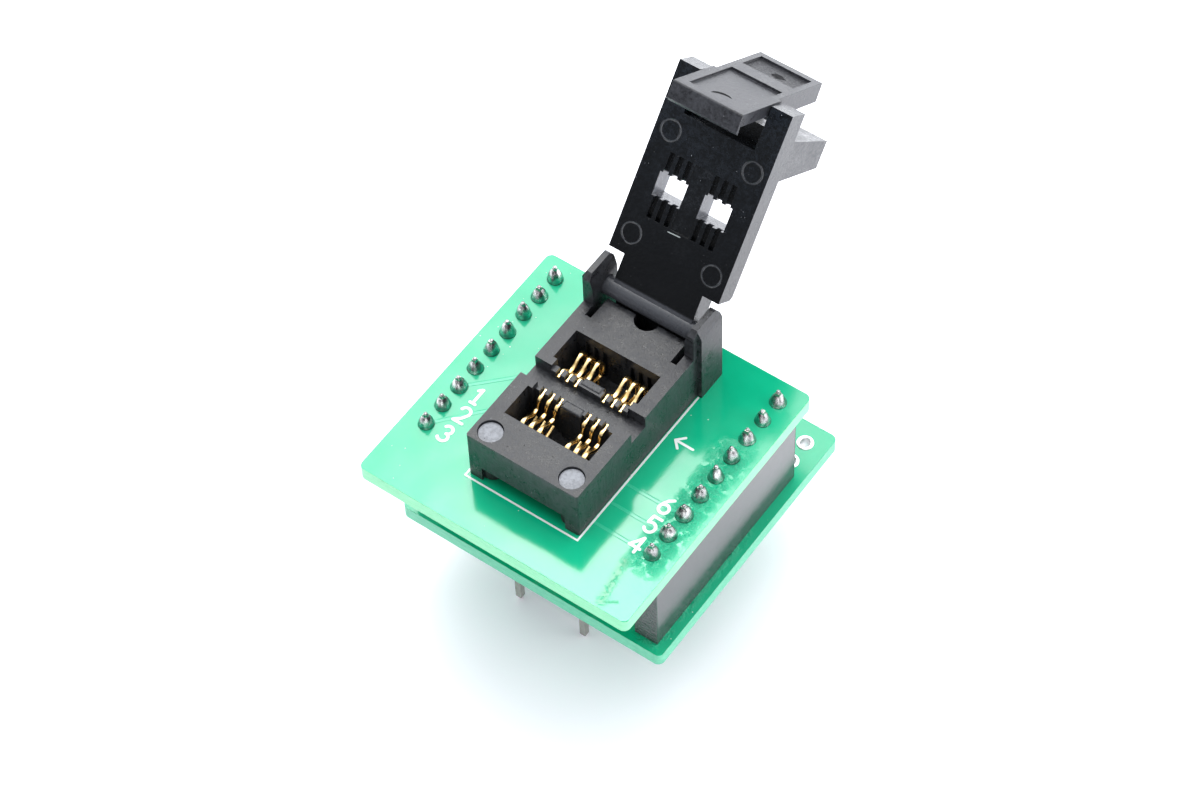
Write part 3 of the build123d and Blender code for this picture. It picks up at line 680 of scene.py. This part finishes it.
for (side, sign), seed in zip(SIDES, (11, 29)):
    header, plug = sign * ROW_X, sign * PLUG_X
    joint_row(f"row_joints_{side}", f"top_joints_{side}", pin_places(header, ROW_PINS, ROW_Y, DECK_TOP),
              "deck", foot_r=0.78, height=1.70, tip_r=0.22, way=1, seed=seed)
    joint_row(f"fork_joints_{side}", f"lower_joints_{side}", pin_places(header, ROW_PINS, ROW_Y, LOW_UNDER),
              "base", foot_r=0.76, height=1.06, tip_r=0.20, way=-1, seed=seed + 1)
    joint_row(f"plug_joints_{side}", f"dip_joints_{side}", pin_places(plug, PLUG_PINS, 0.0, LOW_TOP),
              "base", foot_r=0.74, height=1.2, tip_r=0.3, way=1, seed=seed + 2)
tails = [(x, CHANNEL_Y + way * tail_off(middle), DECK_UNDER)
         for _, site in SIDES for x, middle in contact_places(site) for way in (-1, 1)]
joint_row("tail_joints", "contact_joints", tails,
          "deck", foot_r=0.56, height=0.92, tip_r=0.17, way=-1, seed=5)


# Spring contacts
def contact_line():
    """The middle line of a contact, as distance from the channel, height and girth, with soft corners."""
    pad, seat, top, low, back = 5.05, 3.85, 4.55, 2.15, 5.18
    return softened_line([(0.88, pad, 1.1), (1.35, pad + 0.02, 1.15), (2.1, pad - 0.02, 1.1),
                          (2.3, seat + 0.1, 0.7), (2.55, seat, 1.2), (3.2, seat, 1.2),
                          (3.95, top - 0.15, 0.8), (back - 0.55, top, 1.3), (back - 0.12, top - 0.45, 1.85),
                          (back, 3.45, 1.95), (back - 0.08, 2.75, 1.5), (back - 0.5, low, 0.9),
                          (2.5, low + 0.7, 0.8)])


def contact(x, way, middle):
    """A stamped contact: its rounded section carried along the softened line, and its tail down."""
    line = contact_line()
    path = np.stack([np.full(len(line), x), CHANNEL_Y + way * line[:, 0], DECK_TOP + line[:, 1]], -1)
    across = np.tile([1.0, 0.0, 0.0], (len(path), 1))
    upwards = np.cross(directions(path), across)
    strip = tube(path, across, upwards, rounded_outline(0.18, 0.16), line[:, 2])
    heights = (-2.55, -1.0, 0.5, 2.65 if middle else 2.35)
    post = np.array([[x, CHANNEL_Y + way * tail_off(middle), DECK_TOP + z] for z in heights])
    side = np.tile([1.0, 0.0, 0.0], (len(post), 1))
    deep = np.tile([0.0, 1.0, 0.0], (len(post), 1))
    leg = tube(post, side, deep, rounded_outline(0.17, 0.17))
    return joined([strip, leg])


for row_name, way in (("front", -1), ("rear", 1)):
    for site_name, site in SIDES:
        parts = [contact(x, way, middle) for x, middle in contact_places(site)]
        made = piece(f"spring_contacts_{row_name}_{site_name}", *joined(parts), "deck", gold, "gold_contact")
        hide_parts(f"contacts_{row_name}_{site_name}")


# Latch spring
def from_cover(points):
    """From the cover's own frame (across, along, off its inner side) to the stack."""
    points = np.asarray(points, float)
    c, s = math.cos(LID_OPEN), math.sin(LID_OPEN)
    x, v, h = points[:, 0], points[:, 1], points[:, 2]
    return np.stack([x, HINGE[1] + v * c - h * s, HINGE[2] + v * s + h * c], -1)


def coil(foot, head, off, mean_r, wire_r, turns):
    """A round wire on a helix: angle grows evenly, and the rise stops at both ends to close them."""
    steps, closed = 40, 0.6
    t = np.linspace(0, 1, int(turns * steps) + 1)
    angle = 2 * np.pi * turns * t
    rise = np.clip((t - closed / turns) / (1 - 2 * closed / turns), 0, 1)
    rise = foot + wire_r + (head - foot - 2 * wire_r) * rise
    line = np.stack([mean_r * np.cos(angle), rise, off + mean_r * np.sin(angle)], -1)
    out = np.stack([np.cos(angle), 0 * angle, np.sin(angle)], -1)
    up = np.cross(directions(line), out)
    points, faces = tube(line, out, up, rounded_outline(wire_r, wire_r, 1.0, 10))
    return from_cover(points), turned_over(faces)


# The foot stands in its seat in the lug's sloping side, the head under the tilted arm's corner
SPRING_OFF = PIVOT[1] - SPRING_PLACE
LUG_SLOPE = (LUG_TIP_FAR - LUG_FAR) / LUG_REACH
SPRING_FOOT = LUG_FAR + LUG_SLOPE * ((COVER_INNER - COVER_T) - SPRING_OFF) - SPRING_SEAT + SPRING_GAP
SPRING_HEAD = (PIVOT[0] + (LEVER_TOP - ARM_T) * math.cos(LATCH_TILT) + SPRING_PLACE * math.sin(LATCH_TILT)
               - SPRING_HALF * math.sin(LATCH_TILT) - SPRING_GAP)
made = piece("latch_coil", *coil(SPRING_FOOT, SPRING_HEAD, SPRING_OFF, mean_r=0.93, wire_r=0.12, turns=4.5),
             "lid", steel, "tinned_metal")
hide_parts("latch_spring")
foot_place = from_cover([[0.0, SPRING_FOOT, SPRING_OFF]])[0] * MM
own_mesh(made)


# Plated rings of the empty holes
def plated_eye(x, y, z):
    """A hole's metal lining, turned from a section that is domed over both rings."""
    section = np.array([(0.50, 0.0), (0.50, 1.6), (0.54, 1.645), (0.62, 1.66), (0.80, 1.655), (0.86, 1.63),
                        (0.87, 1.6), (0.55, 1.6), (0.55, 0.0), (0.87, 0.0), (0.86, -0.03), (0.80, -0.055),
                        (0.62, -0.06), (0.54, -0.045)])
    turns = 48
    turn = np.linspace(0, 2 * np.pi, turns, endpoint=False)
    r, h = section[:, 0, None], section[:, 1, None]
    points = np.stack([x + r * np.cos(turn), y + r * np.sin(turn), z + h + 0 * turn], -1).reshape(-1, 3)
    faces = lattice_faces(len(section), turns)
    last = (len(section) - 1) * turns
    faces += [[last + i, last + (i + 1) % turns, (i + 1) % turns, i] for i in range(turns)]
    return points, turned_over(faces)


spare = [(sign * ROW_X, ROW_Y + i * PITCH, LOW_UNDER) for _, sign in SIDES for i in (5, 6)]
made = piece("plated_eyes", *joined([plated_eye(*p) for p in spare]), "base", pad_tin, "tinned_metal")
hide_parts("spare_pads")


# Printed lines, digits and arrow
def even_line(points):
    """The same line with points an even gap apart."""
    gap = 0.09
    line = np.asarray(points, float)
    run = np.concatenate([[0], np.cumsum(np.linalg.norm(np.diff(line, axis=0), axis=1))])
    at = np.linspace(0, run[-1], max(3, int(run[-1] / gap) + 1))
    return np.stack([np.interp(at, run, line[:, 0]), np.interp(at, run, line[:, 1])], -1)


def ink_band(stroke, half, low, high):
    """A flat band along a line: left and right edges half a width off it, half circles at its ends."""
    line = even_line(stroke)
    ahead = directions(line)
    side = np.stack([-ahead[:, 1], ahead[:, 0]], -1)
    bend = 7
    arc = np.linspace(0, np.pi, bend + 2)[1:-1, None]
    start = line[0] + half * (np.cos(arc) * side[0] - np.sin(arc) * ahead[0])
    end = line[-1] + half * (-np.cos(arc) * side[-1] + np.sin(arc) * ahead[-1])
    ring = np.concatenate([(line + half * side)[::-1], start, line - half * side, end])
    n, count = len(line), len(ring)
    points = np.concatenate([np.column_stack([ring, np.full(count, z)]) for z in (low, high)])
    i, k = np.arange(count), np.arange(n - 1)
    left, right = count + n - 1 - k, count + n + bend + k
    walls = np.stack([i, (i + 1) % count, count + (i + 1) % count, count + i], -1).tolist()
    top = np.stack([left - 1, left, right, right + 1], -1).tolist()
    start_cap = [count + n - 1 + j for j in range(bend + 2)]
    end_cap = [count + 2 * n + bend - 1 + j for j in range(bend + 1)] + [count]
    return points, walls + top + [start_cap, end_cap]


def printed(name, strokes, width):
    """Ink lines on the board: one band for each stroke, each a little higher than the one before."""
    thick, step = 0.025, 0.004
    bands = [ink_band(stroke, width / 2, DECK_TOP - step, DECK_TOP + thick + step * i)
             for i, stroke in enumerate(strokes)]
    piece(name, *joined(bands), "deck", ink, smooth=False)


def arc_points(cx, cy, rx, ry, start, end, count=14):
    """Points of an ellipse's arc, angles in degrees, anticlockwise from the right."""
    t = np.radians(np.linspace(start, end, count))
    return np.stack([cx + rx * np.cos(t), cy + ry * np.sin(t)], -1)


def chain(*runs):
    """Runs of points as one line, without points that repeat."""
    line = np.concatenate([np.asarray(r, float) for r in runs])
    keep = np.concatenate([[True], np.linalg.norm(np.diff(line, axis=0), axis=1) > 1e-6])
    return line[keep]


# Each digit's strokes, about two units high round its middle, and the digits' places on the board
DIGITS = {
    "1": [chain([(-0.40, 0.66), (-0.06, 0.98)]), chain([(0.0, 1.0), (0.0, 0.5), (0.0, -0.98)]),
          chain([(-0.32, -0.98), (0.0, -0.98), (0.32, -0.98)])],
    "2": [chain(arc_points(0, 0.45, 0.56, 0.55, 165, -25), [(0.1, -0.45), (-0.56, -1.0)]),
          chain([(-0.56, -1.0), (0.0, -1.0), (0.58, -1.0)])],
    "3": [chain(arc_points(0, 0.5, 0.52, 0.5, 150, -80)), chain(arc_points(0, -0.48, 0.58, 0.52, 80, -150))],
    "4": [chain([(0.3, -1.0), (0.3, 0.0), (0.3, 1.0)]), chain([(0.3, 1.0), (-0.2, 0.2), (-0.62, -0.4)]),
          chain([(-0.62, -0.4), (0.0, -0.4), (0.62, -0.4)])],
    "5": [chain([(0.52, 1.0), (0.0, 1.0), (-0.43, 1.0)]), chain([(-0.43, 1.0), (-0.48, 0.6), (-0.52, 0.12)]),
          chain([(-0.48, 0.14)], arc_points(-0.02, -0.36, 0.58, 0.62, 115, -150))],
    "6": [chain(arc_points(0.02, -0.42, 0.56, 0.56, 145, -165, 26)),
          chain([(0.4, 1.0), (-0.1, 0.62), (-0.42, 0.1)], arc_points(0.02, -0.42, 0.56, 0.56, 160, 200, 5))],
}
DIGIT_PLACES = {
    "1": (-10.55, -7.18), "2": (-10.48, -9.61), "3": (-10.58, -12.2),
    "6": (10.75, -7.3), "5": (10.89, -9.7), "4": (10.92, -12.14),
}
DIGIT_SCALE = 0.89
ARROW = [[(9.27, -0.84), (8.3, -0.83), (7.35, -0.82)], [(8.0, -0.12), (7.66, -0.47), (7.31, -0.82)],
         [(8.0, -1.52), (7.66, -1.17), (7.31, -0.82)]]
FRAME_LINE = [[(-6.31, 5.6), (-6.31, -4.0), (-6.31, -14.87)],
              [(-6.31, -14.87), (0.0, -14.87), (6.31, -14.87)],
              [(6.31, -14.87), (6.33, -4.0), (6.36, 4.27)]]
for digit, place in DIGIT_PLACES.items():
    strokes = [stroke * DIGIT_SCALE + np.array(place) for stroke in DIGITS[digit]]
    printed(f"print_digit_{digit}", strokes, width=0.31)
printed("print_arrow", ARROW, width=0.25)
printed("print_frame", FRAME_LINE, width=0.19)


# Floor, light and camera
def sheet_of(name, size, z, finish):
    """A plain flat square under everything."""
    corners = [(-size, -size, z), (size, -size, z), (size, size, z), (-size, size, z)]
    made = piece(name, corners, [[0, 1, 2, 3]], None, finish, smooth=False)


# painted light: the floor glows, faintly round the object as a painted shadow and brightly further out
floor = Finish("glowing_floor", Specular_IOR_Level=0.15, Emission_Strength=1.0)
off_shadow_middle = ((floor.x + 8.0) ** 2.0 + (floor.y + 12.0) ** 2.0).root()
floor.set("Base Color", (0.945, 0.935, 0.965)).set("Roughness", 0.6)
floor.set("Emission Color", floor.mix(off_shadow_middle.step(16.0, 112.0), (0.09, 0.065, 0.10), (1.15, 1.2, 1.26)))
sheet_of("floor_sheet", size=3000, z=-0.02, finish=floor.material)


def studio_world(dark, bright, towards):
    """White surroundings that are bright behind the object and dim where the photographer stands:
    strength = dark + (bright - dark) * smooth step of the direction's share of the bright side."""
    world = bpy.data.worlds.new("studio")
    world.use_nodes = True
    air = Nodes(world.node_tree)
    light = air.tree.nodes["Background"]
    direction = air.node("ShaderNodeTexCoord", {}, out="Generated")
    share = air.node("ShaderNodeVectorMath", {"operation": "DOT_PRODUCT"}, direction, towards, out="Value")
    strength = air.node("ShaderNodeMapRange", {"interpolation_type": "SMOOTHSTEP"}, share,
                        -0.55, 0.75, dark, bright)
    air.fill(light.inputs["Color"], (0.95, 0.975, 1.0))
    air.fill(light.inputs["Strength"], strength)
    bpy.context.scene.world = world


def placed(axes, place):
    """A matrix from three axes, as the columns of an array, and a place in millimetres."""
    return Matrix([[*row, q] for row, q in zip(axes, place * MM)] + [[0, 0, 0, 1]])


def softbox(name, place, radiance, width, height=None):
    """A soft light at a place in millimetres, turned to the socket: a rectangle, or a disc where it has no
    height. Its power is radiance * area * pi."""
    place, aim = np.array(place, float), np.array([0.0, -4.0, 22.0])
    back = (place - aim) / np.linalg.norm(place - aim)
    right = np.cross([0, 0, 1.0], back)
    right /= np.linalg.norm(right)
    up = np.cross(back, right)
    light = bpy.data.lights.new(name, "AREA")
    light.shape = "RECTANGLE" if height else "DISK"
    light.size, light.size_y = width * MM, (height or width) * MM
    area = width * height * MM ** 2 if height else math.pi / 4 * width ** 2 * MM ** 2
    light.energy = radiance * area * math.pi
    lamp = bpy.data.objects.new(name, light)
    lamp.matrix_world = placed(np.stack([right, up, back], 1), place)
    lamp.visible_camera = False
    bpy.context.scene.collection.objects.link(lamp)


studio_world(dark=0.13, bright=1.75, towards=(-0.42, 0.70, 0.58))
softbox("overhead_box", (-215, 255, 500), radiance=2.6, width=480, height=460)
softbox("front_fill", (260, -420, 180), radiance=2.0, width=320, height=260)
softbox("overhead_glow", (-187, 225, 492), radiance=1.3, width=170)
softbox("overhead_halo", (-180, 215, 490), radiance=2.2, width=118)
softbox("overhead_core", (-172, 205, 487), radiance=5.5, width=74)
softbox("right_box", (560, 160, 200), radiance=3.0, width=420, height=300)

# The focal length is in pixels of the frame, which is 1200 wide
FRAME_W = 1200
FOCAL_LENGTH = 3471
camera = bpy.data.cameras.new("photo_camera")
camera.sensor_width = 36.0
camera.lens = FOCAL_LENGTH / FRAME_W * camera.sensor_width
camera.clip_start, camera.clip_end = 0.01, 20.0
viewer = bpy.data.objects.new("photo_camera", camera)
bpy.context.scene.collection.objects.link(viewer)


def camera_place(azimuth, elevation, roll, across, upwards, distance, target):
    """The camera's matrix: turned to look from an azimuth and elevation, rolled, shifted and set back."""
    a, e, r = math.radians(azimuth), math.radians(elevation), math.radians(roll)
    right = np.array([math.cos(a), math.sin(a), 0])
    back = np.array([math.sin(a) * math.cos(e), -math.cos(a) * math.cos(e), math.sin(e)])
    up = np.cross(back, right)
    c, s = math.cos(r), math.sin(r)
    axes = np.stack([c * right + s * up, -s * right + c * up, back], 1)
    return placed(axes, axes @ np.array([-across, -upwards, distance]) + np.array(target))


viewer.matrix_world = camera_place(azimuth=37.46, elevation=54.49, roll=-2.51, across=0.21, upwards=-1.18,
                                   distance=320.5, target=(0, ROW_Y, DECK_TOP))
bpy.context.scene.camera = viewer
bpy.context.scene.view_settings.view_transform = "Standard"
